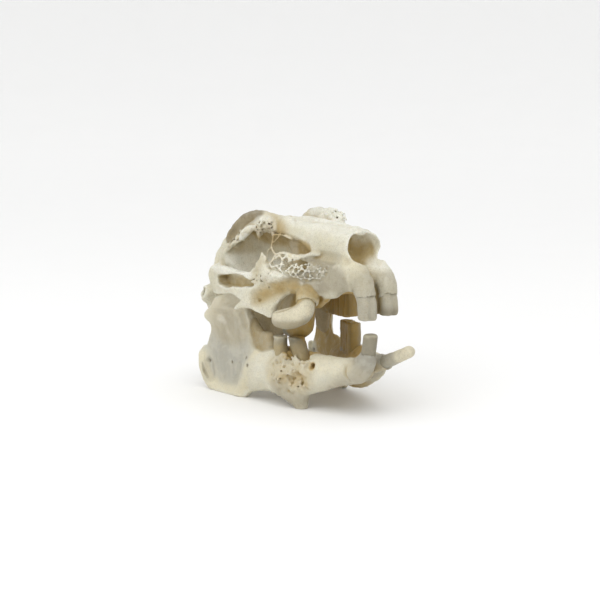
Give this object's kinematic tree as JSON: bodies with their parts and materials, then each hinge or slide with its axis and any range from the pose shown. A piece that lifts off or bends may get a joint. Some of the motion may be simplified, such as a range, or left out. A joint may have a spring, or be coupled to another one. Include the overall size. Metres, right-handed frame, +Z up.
{
  "type": "rabbit skull",
  "caption": "Life-size rabbit skull with lower jaw, mouth open, overgrown teeth bent out of line, resting on its jaw angles as a still display piece.",
  "frame": {"origin": "on the floor under the middle of the box round the whole skull", "axes": "+X to the nose, +Y to the animal's left, +Z up"},
  "size_m": [0.077, 0.0352, 0.0463],
  "materials": {
    "bone": "dry, pale cream bone, ochre in the hollows, matt with a faint sheen on smooth places",
    "jaw_bone": "dry bone, grey where it is thin, cream at the thick rims",
    "tooth": "ivory tooth with a soft shine and fine growth ripples across it"
  },
  "bodies": {
    "root": {"cranium": "bone", "mandible_right": "jaw_bone", "mandible_left": "jaw_bone", "upper_incisor_right": "tooth", "upper_incisor_left": "tooth", "lower_incisor_right": "tooth", "lower_incisor_left": "tooth", "cheek_tooth_upper_right": "tooth"}
  },
  "joints": []
}
